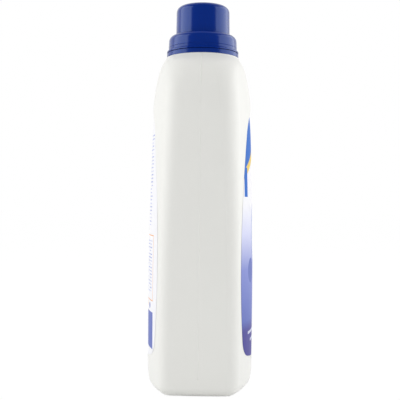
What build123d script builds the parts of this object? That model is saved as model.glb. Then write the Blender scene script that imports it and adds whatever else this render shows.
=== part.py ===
from build123d import *
from math import cos, radians, sin
import os

# Laundry detergent bottle: a hollow blow-moulded bottle, a pourer pressed over its neck, a dosing cap
# that doubles as the measuring cup, and a film label in a shallow panel on the front and on the back.
# Millimetres, +Z up. The origin is the middle of the base, the width runs along X, the depth along Y,
# and the front label faces -Y.

# Bottle body, outside
half_width = 55.0
half_depth = 39.15
shoulder_z = 206.0  # where the straight body ends and the shoulder begins
shoulder_rise = 37.2  # from there up to the flat land round the neck
wall = 1.0
heel_r = 8.0  # rounding round the base
foot_width = 15.0  # from the outline of the base in to its push-up
push_up = 2.5  # height of the hollow under the base
push_up_slope = 6.0  # how far its flank runs in over that height
front_turn = radians(25)  # half the angle through which the crowned front and back turn
side_turn = radians(5)  # the same for the nearly flat sides

# Body stations: height from the heel to shoulder_z as a share, half width and half depth as shares of
# the full ones, how much the corner radius is over heel_r, and how deep the label panel lies there
body_stations = (
    (0.00, 0.987, 0.984, 1.5, 0.25),
    (0.13, 0.996, 0.995, 2.0, 0.30),
    (0.28, 1.000, 1.000, 2.7, 0.40),
    (0.50, 1.000, 0.996, 3.7, 0.45),
    (0.66, 1.000, 0.980, 4.8, 0.55),
    (0.81, 1.000, 0.959, 6.0, 0.50),
    (0.92, 1.000, 0.943, 6.8, 0.75),
    (1.00, 1.000, 0.930, 7.0, 2.00),
)
heel_angles = (0, 18, 36, 54, 72)  # steps round the heel, up to where the straight body begins
# Shoulder stations: share of the rise to the land, then how much is left of the narrowing from the
# body to the land's circle, for the half width, the half depth and the corner radius
shoulder_stations = (
    (0.14, 0.985, 0.955, 0.990),
    (0.30, 0.925, 0.875, 0.930),
    (0.47, 0.810, 0.760, 0.800),
    (0.64, 0.640, 0.610, 0.620),
    (0.82, 0.375, 0.370, 0.370),
    (1.00, 0.000, 0.000, 0.000),
)

# Neck, whose radius sets all that sits on it
neck_r = 23.15
neck_wall = 1.3
neck_height = 6.8
bead_rise = 0.5  # ring on the neck that the pourer snaps over
bead_low = 1.3  # underside of the ring above the land
bead_width = 1.2

# Pourer
press_gap = 0.05  # between pieces pressed together
sleeve_wall = 0.85
plug_wall = 0.9
plug_depth = 4.7  # how far the plug reaches below the land
web = 1.15  # thickness over the rim of the neck
thread_step = 0.7  # how much wider the upper wall's bore is than the plug's
thread_height = 6.7  # height of the upper wall above the web
collar_height = 3.45
collar_edge = 0.5  # rounding of the collar's edges
land_margin = 0.2  # the land reaches this far past the collar
floor_drop = 2.4  # middle of the sloping drain floor under the land
floor_thickness = 1.2
floor_tilt = 6.0
spout_room = 6.05  # between the spout and the cup round it
spout_wall = 1.1
lip_room = 10.8  # over the high side of the spout's lip, inside the cup
lip_drop = 13.0  # how far the lip falls to its low side
lip_flat = 5.0  # the low side of the lip is level as far as this from the middle
drain_width = 6.0

# Dosing cap
parting_gap = 0.3  # over the collar, and over the pourer's upper wall
turning_gap = 0.35  # between the skirt and the pourer's sleeve
cup_gap = 0.65  # between the cup and the plug it reaches into
skirt_wall = 0.95
skirt_draft = 0.5  # how much wider the skirt is at its foot
foot_flare = 1.15  # how far the foot stands out from the skirt
foot_height = 0.95  # straight part of the foot
flare_height = 0.8  # over which the foot runs in to the skirt
groove_up = 1.95  # shallow groove round the skirt, above the flare
groove_size = 0.3
shoulder_wall = 1.4
shoulder_slope = 0.5  # rise of the cap's shoulder from its rim to the cup
shoulder_fillet = 4.4
cup_height = 22.6  # top of the cap above the rim of its shoulder
cup_draft = 0.35
cup_wall = 1.2
cup_fillet = 4.6
cup_reach = 2.5  # how far the cup's rim lies under the neck's

# Labels: an arched tip, sides bowed to their widest low down, a rounded foot
label_side_margin = 9.5  # from the side of the body to the widest point
label_widest = 0.41  # height of the widest point as a share of shoulder_z
label_top_gap = 3.0  # from the tip up to the shoulder's start
label_bottom_z = 22.0
label_tip_r = 30.0
label_corner_r = 14.0
label_foot_r = 140.0
label_thickness = 0.2
label_gap = 0.05
panel_margin = 1.5  # the panel is this much larger than the label all round

# Radii, from the neck outwards and inwards
neck_bore_r = neck_r - neck_wall
plug_r = neck_bore_r - press_gap
plug_bore_r = plug_r - plug_wall
thread_bore_r = plug_bore_r + thread_step
cup_r = plug_bore_r - cup_gap
cup_top_r = cup_r - cup_draft
spout_r = cup_r - cup_wall - spout_room
sleeve_bore_r = neck_r + press_gap
sleeve_r = sleeve_bore_r + sleeve_wall
skirt_bore_r = sleeve_r + turning_gap
skirt_top_r = skirt_bore_r + skirt_wall
skirt_r = skirt_top_r + skirt_draft
collar_r = skirt_r + foot_flare
land_r = collar_r + land_margin

# Heights, from the land up
land_z = shoulder_z + shoulder_rise
neck_top_z = land_z + neck_height
bead_low_z = land_z + bead_low - press_gap
bead_top_z = land_z + bead_low + bead_width + press_gap
plug_z = land_z - plug_depth
floor_z = land_z - floor_drop
drain_z = floor_z - spout_r * sin(radians(floor_tilt))  # the drain floor beside the spout
web_z = neck_top_z + press_gap
web_top_z = web_z + web
upper_top_z = web_top_z + thread_height
collar_top_z = land_z + collar_height
foot_z = collar_top_z + parting_gap
flare_z = foot_z + foot_height
skirt_z = flare_z + flare_height
groove_z = skirt_z + groove_up
cup_rim_z = neck_top_z - cup_reach
ceiling_z = upper_top_z + parting_gap
cap_shoulder_z = ceiling_z + shoulder_wall
cup_z = cap_shoulder_z + shoulder_slope
cap_top_z = cap_shoulder_z + cup_height
lip_z = cap_top_z - cup_wall - lip_room
groove_r = skirt_r - skirt_draft * (groove_z - skirt_z) / (cap_shoulder_z - skirt_z)

# Labels and their panels
label_half_width = half_width - label_side_margin
label_widest_z = label_widest * shoulder_z
label_top_z = shoulder_z - label_top_gap
tip_rise = label_top_z - label_tip_r - label_widest_z
# The side arcs have their middle at the widest point's height and touch the tip's arc inside
label_side_r = (label_half_width**2 + tip_rise**2 - label_tip_r**2) / (2 * (label_half_width - label_tip_r))
side_centre_x = label_half_width - label_side_r
prism_reach = half_depth + wall
edge_match = 0.01  # two radii or heights this near are the same


def ring_section(z, half_x, half_y, corner):
    """Outline of the body at height z: eight arcs that meet tangent, symmetric about both axes."""
    across = half_x - corner
    along = half_y - corner
    front_fall = 1 - cos(front_turn)
    side_fall = 1 - cos(side_turn)
    share = sin(front_turn) * sin(side_turn) - side_fall * front_fall
    front_r = corner + (across * sin(side_turn) - along * side_fall) / share
    side_r = corner + (along * sin(front_turn) - across * front_fall) / share
    front_x = front_r * sin(front_turn)
    front_y = half_y - front_r * front_fall
    side_x = half_x - side_r * side_fall
    side_y = side_r * sin(side_turn)
    middle = (radians(90) - front_turn + side_turn) / 2
    mid_x = side_x + corner * (cos(middle) - cos(side_turn))
    mid_y = side_y + corner * (sin(middle) - sin(side_turn))
    with BuildSketch(Plane.XY.offset(z)) as ring:
        with BuildLine():
            for sx in (1, -1):
                ThreePointArc((sx * side_x, -side_y), (sx * half_x, 0), (sx * side_x, side_y))
                for sy in (1, -1):
                    tangent_points = ((side_x, side_y), (mid_x, mid_y), (front_x, front_y))
                    ThreePointArc(*[(sx * x, sy * y) for x, y in tangent_points])
            for sy in (1, -1):
                ThreePointArc((-front_x, sy * front_y), (0, sy * half_y), (front_x, sy * front_y))
        make_face()
    return ring.sketch.face()


def heel_sections(inset):
    """Sections round the heel, whose rounding is a quarter circle."""
    sections = []
    radius = heel_r - inset
    for angle in heel_angles:
        run_in = heel_r - radius * sin(radians(angle))
        half_x = half_width * body_stations[0][1] - run_in
        half_y = half_depth * body_stations[0][2] - run_in
        corner = heel_r + body_stations[0][3] - run_in
        sections.append(ring_section(heel_r - radius * cos(radians(angle)), half_x, half_y, corner))
    return sections


def body_sections(inset, with_panel):
    """Sections of the straight body, drawn in by inset and, in depth, by the label panel if asked."""
    sections = []
    for height, width_share, depth_share, corner_over, panel_depth in body_stations:
        z = heel_r + height * (shoulder_z - heel_r)
        half_x = half_width * width_share - inset
        half_y = half_depth * depth_share - inset - (panel_depth if with_panel else 0)
        sections.append(ring_section(z, half_x, half_y, heel_r + corner_over - inset))
    return sections


def shoulder_sections(inset):
    """Sections above those of the body, up to the circle of the land."""
    sections = []
    full_depth = half_depth * body_stations[-1][2]
    full_corner = heel_r + body_stations[-1][3]
    for height, width_left, depth_left, corner_left in shoulder_stations:
        z = shoulder_z + height * (land_z - inset - shoulder_z)
        half_x = land_r + width_left * (half_width - land_r)
        half_y = land_r + depth_left * (full_depth - land_r)
        corner = land_r + corner_left * (full_corner - land_r)
        sections.append(ring_section(z, half_x - inset, half_y - inset, corner - inset))
    return sections


def label_prism(grow, facing):
    """The label's outline, grown by a margin, pushed out through the front (-1) or the back (+1)."""
    with BuildPart() as prism:
        with BuildSketch(Plane.XZ) as outline:
            with Locations((side_centre_x, label_widest_z)):
                Circle(label_side_r + grow)
            with Locations((-side_centre_x, label_widest_z)):
                Circle(label_side_r + grow, mode=Mode.INTERSECT)
            with Locations((0, label_bottom_z + label_foot_r)):
                Circle(label_foot_r + grow, mode=Mode.INTERSECT)
            fillet(outline.vertices().sort_by(Axis.Y)[-1], label_tip_r + grow)
            fillet(outline.vertices().sort_by(Axis.Y)[0:2], label_corner_r + grow)
        extrude(amount=-facing * prism_reach)
    return prism.part


def label_panel(inset, facing):
    """What the shallow panel takes from the body: all that lies outside the panel's floor."""
    with BuildPart() as panel:
        add(label_prism(panel_margin + inset, facing))
        loft(body_sections(inset, True), mode=Mode.SUBTRACT)
    return panel.part


def body_form(inset):
    """The body as one solid, drawn in by inset: panels cut, heel rounded, base pushed up."""
    panels = [label_panel(inset, facing) for facing in (-1, 1)]
    base_x = half_width * body_stations[0][1] - foot_width + inset
    base_y = half_depth * body_stations[0][2] - foot_width + inset
    base_corner = heel_r + inset
    rim = ring_section(0, base_x, base_y, base_corner)
    crown = ring_section(push_up + inset, base_x - push_up_slope, base_y - push_up_slope, base_corner)
    with BuildPart() as form:
        loft(heel_sections(inset) + body_sections(inset, False) + shoulder_sections(inset))
        loft([rim, crown], ruled=True, mode=Mode.SUBTRACT)
        add(panels, mode=Mode.SUBTRACT)
    return form.part


def ring_edge(part, radius, z):
    """The one round edge of that radius at that height."""
    circles = part.edges().filter_by(GeomType.CIRCLE)
    near = [edge for edge in circles if abs(edge.center().Z - z) < edge_match]
    return [edge for edge in near if abs(edge.radius - radius) < edge_match]


outer_form = body_form(0)
cavity_form = body_form(wall)

with BuildPart() as bottle:
    add(outer_form)
    with BuildSketch(Plane.XY.offset(land_z)):
        Circle(neck_r)
    extrude(amount=neck_height)
    with BuildSketch(Plane.XY.offset(land_z + bead_low)):
        Circle(neck_r + bead_rise)
    extrude(amount=bead_width)
    add(cavity_form, mode=Mode.SUBTRACT)
    with BuildSketch(Plane.XY.offset(neck_top_z)):
        Circle(neck_bore_r)
    extrude(amount=-neck_height - 2 * wall, mode=Mode.SUBTRACT)
bottle.part.label = "bottle"

with BuildPart() as pour_insert:
    # The drain floor: a tilted disc trimmed to the plug
    with BuildSketch(Plane.XY.offset(floor_z).rotated((0, -floor_tilt, 0))):
        Circle(2 * plug_r)
    extrude(amount=-floor_thickness)
    with BuildSketch(Plane.XY.offset(plug_z)):
        Circle(plug_r)
    extrude(amount=plug_depth + neck_height, mode=Mode.INTERSECT)
    # Walls of revolution: plug, web over the neck's rim, upper wall, sleeve and collar
    with BuildSketch(Plane.XZ) as walls:
        with BuildLine():
            Polyline(
                (plug_bore_r, plug_z),
                (plug_r, plug_z),
                (plug_r, web_z),
                (sleeve_bore_r, web_z),
                (sleeve_bore_r, bead_top_z),
                (sleeve_bore_r + bead_rise, bead_top_z),
                (sleeve_bore_r + bead_rise, bead_low_z),
                (sleeve_bore_r, bead_low_z),
                (sleeve_bore_r, land_z),
                (collar_r, land_z),
                (collar_r, collar_top_z),
                (sleeve_r, collar_top_z),
                (sleeve_r, upper_top_z),
                (thread_bore_r, upper_top_z),
                (thread_bore_r, web_top_z),
                (plug_bore_r, web_top_z),
                close=True,
            )
        make_face()
    revolve(axis=Axis.Z)
    fillet(ring_edge(pour_insert.part, collar_r, land_z), collar_edge)
    fillet(ring_edge(pour_insert.part, collar_r, collar_top_z), collar_edge)
    # The spout: a tube through the floor, its lip cut on a slope and its low side slotted to drain
    with BuildSketch(Plane.XY.offset(plug_z)):
        Circle(spout_r)
    extrude(amount=lip_z - plug_z)
    with BuildSketch(Plane.XZ.offset(-spout_r)):
        with BuildLine():
            Polyline(
                (-spout_r, lip_z),
                (-spout_r, lip_z - lip_drop),
                (-lip_flat, lip_z - lip_drop),
                (spout_r, lip_z),
                close=True,
            )
        make_face()
    extrude(amount=2 * spout_r, mode=Mode.SUBTRACT)
    with BuildSketch(Plane.XY.offset(plug_z)):
        Circle(spout_r - spout_wall)
    extrude(amount=lip_z - plug_z, mode=Mode.SUBTRACT)
    with BuildSketch(Plane.XY.offset(drain_z)):
        with Locations((-spout_r, 0)):
            Rectangle(4 * spout_wall, drain_width)
    extrude(amount=lip_z - drain_z, mode=Mode.SUBTRACT)
pour_insert.part.label = "pour_insert"

with BuildPart() as dosing_cap:
    with BuildSketch(Plane.XZ) as half_section:
        with BuildLine():
            Polyline(
                (0, cap_top_z),
                (cup_top_r, cap_top_z),
                (cup_r, cup_z),
                (skirt_top_r, cap_shoulder_z),
                (skirt_r, skirt_z),
                (collar_r, flare_z),
                (collar_r, foot_z),
                (skirt_r - skirt_wall, foot_z),
                (skirt_bore_r, skirt_z),
                (skirt_bore_r, ceiling_z),
                (cup_r, ceiling_z),
                (cup_r, cup_rim_z),
                (cup_r - cup_wall, cup_rim_z),
                (cup_top_r - cup_wall, cap_top_z - cup_wall),
                (0, cap_top_z - cup_wall),
                close=True,
            )
        make_face()
    revolve(axis=Axis.Z)
    fillet(ring_edge(dosing_cap.part, cup_top_r, cap_top_z), cup_fillet)
    fillet(ring_edge(dosing_cap.part, cup_top_r - cup_wall, cap_top_z - cup_wall), cup_fillet - cup_wall)
    fillet(ring_edge(dosing_cap.part, skirt_top_r, cap_shoulder_z), shoulder_fillet)
    with BuildSketch(Plane.XZ):
        with Locations((groove_r, groove_z)):
            Rectangle(groove_size, groove_size, rotation=45)
    revolve(axis=Axis.Z, mode=Mode.SUBTRACT)
dosing_cap.part.label = "dosing_cap"


def label_skin(facing):
    """A label: a thin skin that follows the floor of its panel a hair above it."""
    with BuildPart() as skin:
        add(label_prism(0, facing))
        loft(body_sections(-label_gap - label_thickness, True), mode=Mode.INTERSECT)
        loft(body_sections(-label_gap, True), mode=Mode.SUBTRACT)
    return skin.part


front_label = label_skin(-1)
front_label.label = "front_label"
back_label = label_skin(1)
back_label.label = "back_label"

os.makedirs("parts", exist_ok=True)
for piece in (bottle.part, pour_insert.part, dosing_cap.part, front_label, back_label):
    export_step(piece, f"parts/{piece.label}.step")
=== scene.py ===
import math

import bpy
from mathutils import Matrix, Vector
from mathutils.bvhtree import BVHTree

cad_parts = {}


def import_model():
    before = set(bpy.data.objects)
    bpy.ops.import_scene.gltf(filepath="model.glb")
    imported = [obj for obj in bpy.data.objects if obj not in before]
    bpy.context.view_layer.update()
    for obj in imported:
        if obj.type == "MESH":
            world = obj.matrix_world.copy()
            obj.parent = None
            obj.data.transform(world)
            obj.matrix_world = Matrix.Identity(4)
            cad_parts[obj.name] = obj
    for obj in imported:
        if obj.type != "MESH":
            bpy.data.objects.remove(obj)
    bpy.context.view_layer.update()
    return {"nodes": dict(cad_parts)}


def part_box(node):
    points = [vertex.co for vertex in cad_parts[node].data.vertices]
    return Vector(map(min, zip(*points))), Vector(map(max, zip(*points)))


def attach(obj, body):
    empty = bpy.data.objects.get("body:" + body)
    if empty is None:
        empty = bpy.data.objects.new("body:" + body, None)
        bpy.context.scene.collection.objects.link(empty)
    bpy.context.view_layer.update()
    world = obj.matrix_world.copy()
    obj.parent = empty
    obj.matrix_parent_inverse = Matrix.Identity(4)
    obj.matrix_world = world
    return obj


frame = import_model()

MM = 0.001

# Camera: level, on the -X side, turned a little towards the front label
CAMERA_DISTANCE = 0.579
CAMERA_HEIGHT = 0.1365
CAMERA_SENSOR = 36.0
CAMERA_LENS = 68.8
CAMERA_TURN = math.radians(1.3)
CAMERA_ROLL = math.radians(0.55)
CAMERA_PAN = math.radians(0.10)

# Soft boxes: angle from the camera's direction in degrees, width, power in watts
SOFT_BOXES = {"soft_box_left": (80, 1.05, 6.0), "soft_box_right": (-96, 1.45, 7.0)}
SOFT_BOX_DISTANCE = 0.95
SOFT_BOX_HEIGHT = 1.3
SOFT_BOX_MIDDLE = 0.35
SOFT_BOX_AIM = Vector((0, 0, 0.15))

# World: even fill on the surfaces; in reflections it is dim towards -X and bright towards +X
FILL = 0.77
REFLECTION_DIM = 0.03
REFLECTION_BRIGHT = 0.95
REFLECTION_START = -0.35
REFLECTION_END = 0.6

# Floor: mostly white glow for what is seen directly, with a share left for the shadow
FLOOR_HALF = 6.0
FLOOR_COLOUR = (0.86, 0.86, 0.86)
FLOOR_ROUGHNESS = 0.8
FLOOR_GLOW = 1.02
FLOOR_GLOW_SHARE = 0.94

# Moulded plastics: darker and lighter colour of the clouding, roughness, grain per metre, grain height
WHITE_HDPE = ((0.775, 0.775, 0.742), (0.80, 0.80, 0.768), 0.42, 900.0, 0.02 * MM)
BLUE_CAP = ((0.0004, 0.019, 0.205), (0.0006, 0.023, 0.225), 0.17, 700.0, 0.008 * MM)
BLUE_POURER = ((0.0004, 0.019, 0.200), (0.0006, 0.023, 0.220), 0.20, 700.0, 0.01 * MM)
CLOUD_SCALE = 22.0
CLOUD_GLOSS = 0.15
BLUE_SPECULAR = 0.9
BLUE_SPECULAR_TINT = (0.55, 0.72, 1.0, 1)
CAP_COAT = 0.1
CAP_COAT_ROUGHNESS = 0.12

# Label film: satin varnish over the print
FILM_SPECULAR = 0.1
FILM_ROUGHNESS = (0.40, 0.50)
FILM_GLOSS_SCALE = 60.0
FILM_WAVE_SCALE = 35.0
FILM_WAVE_HEIGHT = 0.12 * MM
PRINT_EDGE = 0.3 * MM

# Print colours
WHITE = (0.83, 0.83, 0.86)
LILAC = (0.62, 0.64, 0.84)
PALE_PERIWINKLE = (0.22, 0.26, 0.60)
PERIWINKLE = (0.12, 0.16, 0.47)
VIOLET = (0.060, 0.052, 0.28)
VIVID_BLUE = (0.008, 0.13, 0.53)
YELLOW = (0.78, 0.56, 0.10)
ORANGE = (0.80, 0.32, 0.05)
PALE_MARK = (0.55, 0.57, 0.72)
ROW_BLUE = (0.30, 0.36, 0.66)

# Front print: the ground's colours up the film, as shares of its height
FRONT_GROUND = (
    (0.0, VIOLET), (0.12, VIOLET), (0.16, PERIWINKLE), (0.36, PALE_PERIWINKLE),
    (0.50, LILAC), (0.62, WHITE), (1.0, WHITE),
)
# Two swept bands that drop from the film's middle to its sides: lower and upper edge, colour
SWEEP_SLOPE = 0.55
SWEPT_BANDS = ((0.178, 0.213, VIVID_BLUE), (0.172, 0.178, YELLOW))
# Ellipses: middle (x, z), half sizes (x, z), colour
FRONT_ELLIPSES = (
    ((0.004, 0.112), (0.022, 0.026), VIVID_BLUE),
    ((0.004, 0.112), (0.020, 0.024), WHITE),
    ((-0.022, 0.086), (0.009, 0.009), PERIWINKLE),
)
# Bars: left, right, bottom, top, colour
SIDE_BAR = (-0.0375, -0.030, 0.139, 0.160, VIVID_BLUE)
LOW_BARS = (
    (-0.030, 0.030, 0.0405, 0.0425, PALE_MARK),
    (-0.022, 0.022, 0.0345, 0.0365, PALE_MARK),
)

# Back print: rows of fine marks (left, right, bottom, top, pitch)
MARK_ROWS = ((-0.027, 0.027, 0.118, 0.184, 0.0026), (-0.032, 0.032, 0.070, 0.107, 0.0024))
ROW_SPAN = (0.3, 0.62)
ROW_EDGE = 0.15
MARK_SCALE = 420.0
MARK_GAPS = 0.47
# A thin frame round the lower rows, a line of dots under it, and two blocks
FRAME_HALF = 0.036
FRAME_BOTTOM, FRAME_TOP = 0.0640, 0.1110
FRAME_LINE = 0.6 * MM
DOT_COUNT = 5
DOT_PITCH = 0.013
DOT_HEIGHT = 0.0602
DOT_RADIUS = 0.0022
BACK_BLOCKS = ((0.014, 0.040, 0.0330, 0.0540, VIVID_BLUE), (-0.036, -0.010, 0.0300, 0.0560, PERIWINKLE))

# Mould seam: a narrow ridge, found by rays at angles in degrees, full on the shoulder and faint below
SEAM_MIDDLE = Vector((0, 0, 0.12))
SEAM_LOW_ANGLE = -63
SEAM_SWEEP = 139.9
SEAM_STEPS = 220
SEAM_OUTSIDE = 0.3
SEAM_LOWEST = 0.5 * MM
SEAM_HALF = 0.35 * MM
SEAM_RISE = 0.25 * MM
SEAM_SUNK = 0.1 * MM
SEAM_FAINT = 0.2
SEAM_CLEAR = 0.212
SEAM_FADE = 0.008

# Screw threads: the cap's ridge points outwards, the pourer's inwards, and they pass each other
THREAD_TURNS = 1.5
THREAD_PITCH = 3.0 * MM
THREAD_WIDTH = 1.2 * MM
THREAD_SUNK = 0.1 * MM
THREAD_STEPS = 108
THREAD_FADE_STEPS = 10
CAP_THREAD_RADIUS = 20.2 * MM
CAP_THREAD_START = 3.6 * MM
CAP_THREAD_RISE = 0.55 * MM
POURER_THREAD_RADIUS = 21.65 * MM
POURER_THREAD_START = 5.6 * MM
POURER_THREAD_RISE = -0.45 * MM


# --- Nodes ---

def material(name, roughness):
    """A new node material. Returns the material, its node tree and its Principled shader."""
    made = bpy.data.materials.new(name)
    made.use_nodes = True
    tree = made.node_tree
    shader = tree.nodes["Principled BSDF"]
    shader.inputs["Roughness"].default_value = roughness
    return made, tree, shader


def node(tree, kind, inputs=(), **settings):
    """A node with its settings and its inputs, each a value or another node's socket."""
    made = tree.nodes.new(kind)
    for key, value in settings.items():
        setattr(made, key, value)
    for key, value in dict(inputs).items():
        if isinstance(value, bpy.types.NodeSocket):
            tree.links.new(value, made.inputs[key])
        else:
            made.inputs[key].default_value = value
    return made


def maths(tree, operation, first, second=0.0):
    """One Math node's result."""
    return node(tree, "ShaderNodeMath", {0: first, 1: second}, operation=operation).outputs[0]


def mix(tree, factor, first, second):
    """Colour mixed from first to second by factor."""
    made = node(tree, "ShaderNodeMix", {0: factor, 6: first, 7: second}, data_type="RGBA")
    return made.outputs[2]


def mix_values(tree, factor, first, second):
    """Number mixed from first to second by factor."""
    return node(tree, "ShaderNodeMix", {0: factor, 2: first, 3: second}).outputs[0]


def map_range(tree, value, from_low, from_high, to_low=0.0, to_high=1.0):
    """A value's range stretched onto another, clamped at its ends."""
    inputs = {
        "Value": value, "From Min": from_low, "From Max": from_high, "To Min": to_low, "To Max": to_high,
    }
    return node(tree, "ShaderNodeMapRange", inputs).outputs[0]


def place(tree):
    """The object's coordinates, in metres, as three sockets."""
    coordinates = node(tree, "ShaderNodeTexCoord").outputs["Object"]
    return node(tree, "ShaderNodeSeparateXYZ", {0: coordinates}).outputs


def noise(tree, scale, detail=3.0):
    """Noise fixed to the object, scale per metre."""
    coordinates = node(tree, "ShaderNodeTexCoord").outputs["Object"]
    inputs = {"Vector": coordinates, "Scale": scale, "Detail": detail}
    return node(tree, "ShaderNodeTexNoise", inputs).outputs["Fac"]


def bump(tree, shader, height, distance):
    """Bump on the shader."""
    made = node(tree, "ShaderNodeBump", {"Height": height, "Distance": distance})
    tree.links.new(made.outputs["Normal"], shader.inputs["Normal"])


def rough_range(tree, shader, factor, low, high):
    """Roughness that runs from low to high with factor."""
    tree.links.new(map_range(tree, factor, 0.0, 1.0, low, high), shader.inputs["Roughness"])


# --- Materials ---

def moulded_plastic(name, dark, light, roughness, grain, grain_height):
    """Moulded plastic: faint clouding of colour and gloss, and a fine moulded grain."""
    made, tree, shader = material(name, roughness)
    cloud = noise(tree, CLOUD_SCALE)
    tree.links.new(mix(tree, cloud, (*dark, 1), (*light, 1)), shader.inputs["Base Color"])
    rough_range(tree, shader, cloud, roughness * (1 - CLOUD_GLOSS), roughness * (1 + CLOUD_GLOSS))
    bump(tree, shader, noise(tree, grain), grain_height)
    return made, shader


def blue_plastic(name, values):
    """Glossy dark blue plastic with bluish highlights."""
    made, shader = moulded_plastic(name, *values)
    shader.inputs["Specular IOR Level"].default_value = BLUE_SPECULAR
    shader.inputs["Specular Tint"].default_value = BLUE_SPECULAR_TINT
    return made, shader


def film(name, colour_of):
    """Printed film: the print, a satin varnish and the faint waviness of a thin film."""
    made, tree, shader = material(name, FILM_ROUGHNESS[0])
    shader.inputs["Specular IOR Level"].default_value = FILM_SPECULAR
    x, _, z = place(tree)
    tree.links.new(colour_of(tree, x, z), shader.inputs["Base Color"])
    rough_range(tree, shader, noise(tree, FILM_GLOSS_SCALE), *FILM_ROUGHNESS)
    bump(tree, shader, noise(tree, FILM_WAVE_SCALE), FILM_WAVE_HEIGHT)
    return made


# --- Label print: fields of colour on the film, in the label's own plane ---

def soft_step(tree, value, edge, width):
    """0 below the edge, 1 above it, over a narrow width."""
    return map_range(tree, value, edge - width / 2, edge + width / 2)


def band(tree, value, low, high, width=PRINT_EDGE):
    """1 between low and high."""
    above = soft_step(tree, value, low, width)
    below = soft_step(tree, value, high, width)
    return maths(tree, "SUBTRACT", above, below)


def both(tree, first, second):
    """1 where both masks are."""
    return maths(tree, "MULTIPLY", first, second)


def rectangle(tree, x, z, left, right, bottom, top):
    """1 inside a rectangle."""
    return both(tree, band(tree, z, bottom, top), band(tree, x, left, right))


def ellipse(tree, x, z, centre, radii, edge=0.01):
    """1 inside an ellipse."""
    across = maths(tree, "DIVIDE", maths(tree, "SUBTRACT", x, centre[0]), radii[0])
    along = maths(tree, "DIVIDE", maths(tree, "SUBTRACT", z, centre[1]), radii[1])
    across_square = maths(tree, "MULTIPLY", across, across)
    along_square = maths(tree, "MULTIPLY", along, along)
    outside = soft_step(tree, maths(tree, "ADD", across_square, along_square), 1.0, edge)
    return maths(tree, "SUBTRACT", 1.0, outside)


def ramp(tree, value, low, high, stops):
    """A colour ramp over low to high, with stops of (share, colour)."""
    made = node(tree, "ShaderNodeValToRGB", {0: map_range(tree, value, low, high)})
    elements = made.color_ramp.elements
    while len(elements) < len(stops):
        elements.new(0.5)
    for element, (at, colour) in zip(elements, stops):
        element.position = at
        element.color = (*colour, 1)
    return made.outputs[0]


def paint(tree, below, layers):
    """Layers of (mask, colour) over the colour below."""
    for mask, colour in layers:
        below = mix(tree, mask, below, (*colour, 1))
    return below


def front_print(tree, x, z):
    """Front label: a graded ground under swept bands, a ringed ellipse, a dot and bars."""
    low, high = (corner[2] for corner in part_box("front_label"))
    ground = ramp(tree, z, low, high, FRONT_GROUND)
    swept = maths(tree, "ADD", z, maths(tree, "MULTIPLY", maths(tree, "ABSOLUTE", x), SWEEP_SLOPE))
    layers = [(band(tree, swept, bottom, top), colour) for bottom, top, colour in SWEPT_BANDS]
    layers.append((rectangle(tree, x, z, *SIDE_BAR[:4]), SIDE_BAR[4]))
    layers += [(ellipse(tree, x, z, middle, half), colour) for middle, half, colour in FRONT_ELLIPSES]
    layers += [(rectangle(tree, x, z, *bar[:4]), bar[4]) for bar in LOW_BARS]
    return paint(tree, ground, layers)


def mark_rows(tree, x, z, left, right, bottom, top, pitch):
    """Rows of fine broken lines in a rectangle."""
    row = maths(tree, "FRACT", maths(tree, "DIVIDE", z, pitch))
    line = band(tree, row, *ROW_SPAN, ROW_EDGE)
    marks = maths(tree, "GREATER_THAN", noise(tree, MARK_SCALE, 1.0), MARK_GAPS)
    return both(tree, both(tree, line, marks), rectangle(tree, x, z, left, right, bottom, top))


def back_print(tree, x, z):
    """Back label: rows of fine marks, a thin frame, two blocks and a line of dots on white."""
    layers = [(mark_rows(tree, x, z, *rows), ROW_BLUE) for rows in MARK_ROWS]
    outer = rectangle(tree, x, z, -FRAME_HALF, FRAME_HALF, FRAME_BOTTOM, FRAME_TOP)
    inner = rectangle(tree, x, z, -FRAME_HALF + FRAME_LINE, FRAME_HALF - FRAME_LINE,
                      FRAME_BOTTOM + FRAME_LINE, FRAME_TOP - FRAME_LINE)
    layers.append((maths(tree, "SUBTRACT", outer, inner), ORANGE))
    layers += [(rectangle(tree, x, z, *block[:4]), block[4]) for block in BACK_BLOCKS]
    for i in range(DOT_COUNT):
        middle = (DOT_PITCH * (i - (DOT_COUNT - 1) / 2), DOT_HEIGHT)
        colour = ORANGE if i % 2 else PERIWINKLE
        layers.append((ellipse(tree, x, z, middle, (DOT_RADIUS, DOT_RADIUS)), colour))
    return paint(tree, (*WHITE, 1), layers)


# --- Pieces that Blender adds ---

def mesh_object(name, vertices, faces, made, body):
    """A smooth mesh piece that rides on a body and takes its finish from a slot."""
    mesh = bpy.data.meshes.new(name)
    mesh.from_pydata(vertices, [], faces)
    mesh.validate()
    mesh.polygons.foreach_set("use_smooth", [True] * len(mesh.polygons))
    mesh.materials.append(made)
    obj = bpy.data.objects.new(name, mesh)
    bpy.context.scene.collection.objects.link(obj)
    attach(obj, body)


def tube_faces(rings, count):
    """Faces of a closed tube of so many rings, each of count vertices, with both ends capped."""
    faces = []
    for i in range(rings - 1):
        for j in range(count):
            a, b = i * count + j, i * count + (j + 1) % count
            faces.append((a, b, b + count, a + count))
    faces.append(tuple(reversed(range(count))))
    faces.append(tuple(range((rings - 1) * count, rings * count)))
    return faces


def seam_path(side):
    """Points and outward normals of the bottle's surface, up the middle of one narrow side."""
    mesh = frame["nodes"]["bottle"].data
    surface = BVHTree.FromPolygons([v.co for v in mesh.vertices], [p.vertices for p in mesh.polygons])
    path = []
    for i in range(SEAM_STEPS + 1):
        angle = math.radians(SEAM_LOW_ANGLE + SEAM_SWEEP * i / SEAM_STEPS)
        outward = Vector((side * math.cos(angle), 0, math.sin(angle)))
        point, normal, _, _ = surface.ray_cast(SEAM_MIDDLE + outward * SEAM_OUTSIDE, -outward)
        if point is None or point.z < SEAM_LOWEST:
            continue
        path.append((point, normal if normal.dot(outward) > 0 else -normal))
    return path


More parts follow.
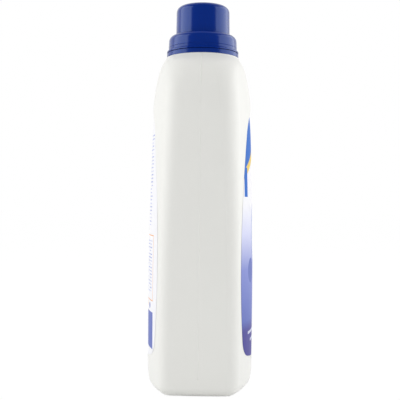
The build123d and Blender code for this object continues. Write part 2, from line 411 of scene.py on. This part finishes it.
def seam(name, side, made):
    """The mould's parting line down one narrow side: a low round ridge, kept inside the CAD box."""
    low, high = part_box("bottle")
    profile = ((-SEAM_HALF, -SEAM_SUNK), (-SEAM_HALF / 2, SEAM_RISE * 0.75), (0, SEAM_RISE),
               (SEAM_HALF / 2, SEAM_RISE * 0.75), (SEAM_HALF, -SEAM_SUNK))
    path = seam_path(side)
    vertices = []
    for point, normal in path:
        height = min(1.0, max(0.0, (point.z - SEAM_CLEAR) / SEAM_FADE))
        share = SEAM_FAINT + (1 - SEAM_FAINT) * height
        for across, up in profile:
            vertex = point + Vector((0, across, 0)) + normal * (up * share)
            vertex.x = min(high[0], max(low[0], vertex.x))
            vertices.append(vertex)
    mesh_object(name, vertices, tube_faces(len(path), len(profile)), made, "bottle_body")


def thread(name, body, made, radius, low, rise):
    """A screw ridge: a low trapezoid wound round a wall, fading in and out at its ends."""
    vertices = []
    for i in range(THREAD_STEPS + 1):
        angle = 2 * math.pi * THREAD_TURNS * i / THREAD_STEPS
        z = low + THREAD_PITCH * THREAD_TURNS * i / THREAD_STEPS
        fade = min(1.0, i / THREAD_FADE_STEPS, (THREAD_STEPS - i) / THREAD_FADE_STEPS)
        root = radius - math.copysign(THREAD_SUNK, rise)
        crest = radius + rise * fade
        section = ((root, -THREAD_WIDTH / 2), (crest, -THREAD_WIDTH / 4),
                   (crest, THREAD_WIDTH / 4), (root, THREAD_WIDTH / 2))
        vertices += [(r * math.cos(angle), r * math.sin(angle), z + dz) for r, dz in section]
    mesh_object(name, vertices, tube_faces(THREAD_STEPS + 1, 4), made, body)


def give(name, made):
    """Gives a CAD node its material."""
    for slot in frame["nodes"][name].material_slots:
        slot.material = made


def dress():
    """Materials on the CAD nodes, and the seams and threads."""
    white, _ = moulded_plastic("white_hdpe", *WHITE_HDPE)
    blue, shader = blue_plastic("blue_cap", BLUE_CAP)
    shader.inputs["Coat Weight"].default_value = CAP_COAT
    shader.inputs["Coat Roughness"].default_value = CAP_COAT_ROUGHNESS
    pourer, _ = blue_plastic("blue_pourer", BLUE_POURER)
    give("bottle", white)
    give("dosing_cap", blue)
    give("pour_insert", pourer)
    give("front_label", film("front_film", front_print))
    give("back_label", film("back_film", back_print))

    seam("seam_left", -1, white)
    seam("seam_right", 1, white)
    cap_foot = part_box("dosing_cap")[0][2]
    thread("cap_thread", "cap_body", blue,
           CAP_THREAD_RADIUS, cap_foot + CAP_THREAD_START, CAP_THREAD_RISE)
    thread("pourer_thread", "bottle_body", pourer,
           POURER_THREAD_RADIUS, cap_foot + POURER_THREAD_START, POURER_THREAD_RISE)


# --- Studio ---

def stage():
    """A pale floor that keeps the shadow and is white where nothing shades it."""
    h = FLOOR_HALF
    mesh = bpy.data.meshes.new("floor")
    mesh.from_pydata([(-h, -h, 0), (h, -h, 0), (h, h, 0), (-h, h, 0)], [], [(0, 1, 2, 3)])
    floor = bpy.data.objects.new("floor", mesh)
    bpy.context.scene.collection.objects.link(floor)
    made, tree, shader = material("pale_floor", FLOOR_ROUGHNESS)
    shader.inputs["Base Color"].default_value = (*FLOOR_COLOUR, 1)
    shader.inputs["Specular IOR Level"].default_value = 0.0
    path = node(tree, "ShaderNodeLightPath").outputs
    seen = maths(tree, "MAXIMUM", path["Is Camera Ray"], path["Is Glossy Ray"])
    seen = maths(tree, "MAXIMUM", seen, path["Is Transmission Ray"])
    share = maths(tree, "MULTIPLY", seen, FLOOR_GLOW_SHARE)
    glow = node(tree, "ShaderNodeEmission", {"Color": (1, 1, 1, 1), "Strength": FLOOR_GLOW})
    blend = node(tree, "ShaderNodeMixShader", {0: share, 1: shader.outputs[0], 2: glow.outputs[0]})
    tree.links.new(blend.outputs[0], tree.nodes["Material Output"].inputs["Surface"])
    mesh.materials.append(made)


def world():
    """White to the camera, an even fill on surfaces, and reflections that brighten behind the bottle."""
    scene = bpy.context.scene
    scene.world = bpy.data.worlds.new("studio")
    scene.world.use_nodes = True
    tree = scene.world.node_tree
    background = tree.nodes["Background"]
    background.inputs["Color"].default_value = (1, 1, 1, 1)
    path = node(tree, "ShaderNodeLightPath").outputs
    direction = node(tree, "ShaderNodeTexCoord").outputs["Generated"]
    x = node(tree, "ShaderNodeSeparateXYZ", {0: direction}).outputs[0]
    mirrored = map_range(tree, x, REFLECTION_START, REFLECTION_END, REFLECTION_DIM, REFLECTION_BRIGHT)
    light = mix_values(tree, path["Is Glossy Ray"], FILL, mirrored)
    strength = mix_values(tree, path["Is Camera Ray"], light, 1.0)
    tree.links.new(strength, background.inputs["Strength"])


def soft_box(name, angle, width, power):
    """A soft box at an angle from the camera's direction, turned to the bottle."""
    data = bpy.data.lights.new(name, "AREA")
    data.shape = "RECTANGLE"
    data.size = width
    data.size_y = SOFT_BOX_HEIGHT
    data.energy = power
    lamp = bpy.data.objects.new(name, data)
    bpy.context.scene.collection.objects.link(lamp)
    turned = math.radians(angle)
    lamp.location = (-SOFT_BOX_DISTANCE * math.cos(turned), SOFT_BOX_DISTANCE * math.sin(turned),
                     SOFT_BOX_MIDDLE)
    aim = SOFT_BOX_AIM - lamp.location
    lamp.rotation_euler = aim.to_track_quat("-Z", "Y").to_euler()


def camera():
    """A level camera on the -X side, with a slight roll."""
    data = bpy.data.cameras.new("camera")
    data.sensor_width = CAMERA_SENSOR
    data.lens = CAMERA_LENS
    obj = bpy.data.objects.new("camera", data)
    bpy.context.scene.collection.objects.link(obj)
    heading = CAMERA_TURN + CAMERA_PAN
    forward = Vector((math.cos(heading), math.sin(heading), 0))
    right = Vector((math.sin(heading), -math.cos(heading), 0))
    up = Vector((0, 0, 1))
    rolled_right = right * math.cos(CAMERA_ROLL) + up * math.sin(CAMERA_ROLL)
    rolled_up = up * math.cos(CAMERA_ROLL) - right * math.sin(CAMERA_ROLL)
    turn = Matrix((rolled_right, rolled_up, -forward)).transposed().to_4x4()
    turn.translation = (-CAMERA_DISTANCE * math.cos(CAMERA_TURN), -CAMERA_DISTANCE * math.sin(CAMERA_TURN),
                        CAMERA_HEIGHT)
    obj.matrix_world = turn
    bpy.context.scene.camera = obj


dress()
stage()
world()
for lamp_name, settings in SOFT_BOXES.items():
    soft_box(lamp_name, *settings)
camera()
bpy.context.scene.view_settings.view_transform = "Standard"
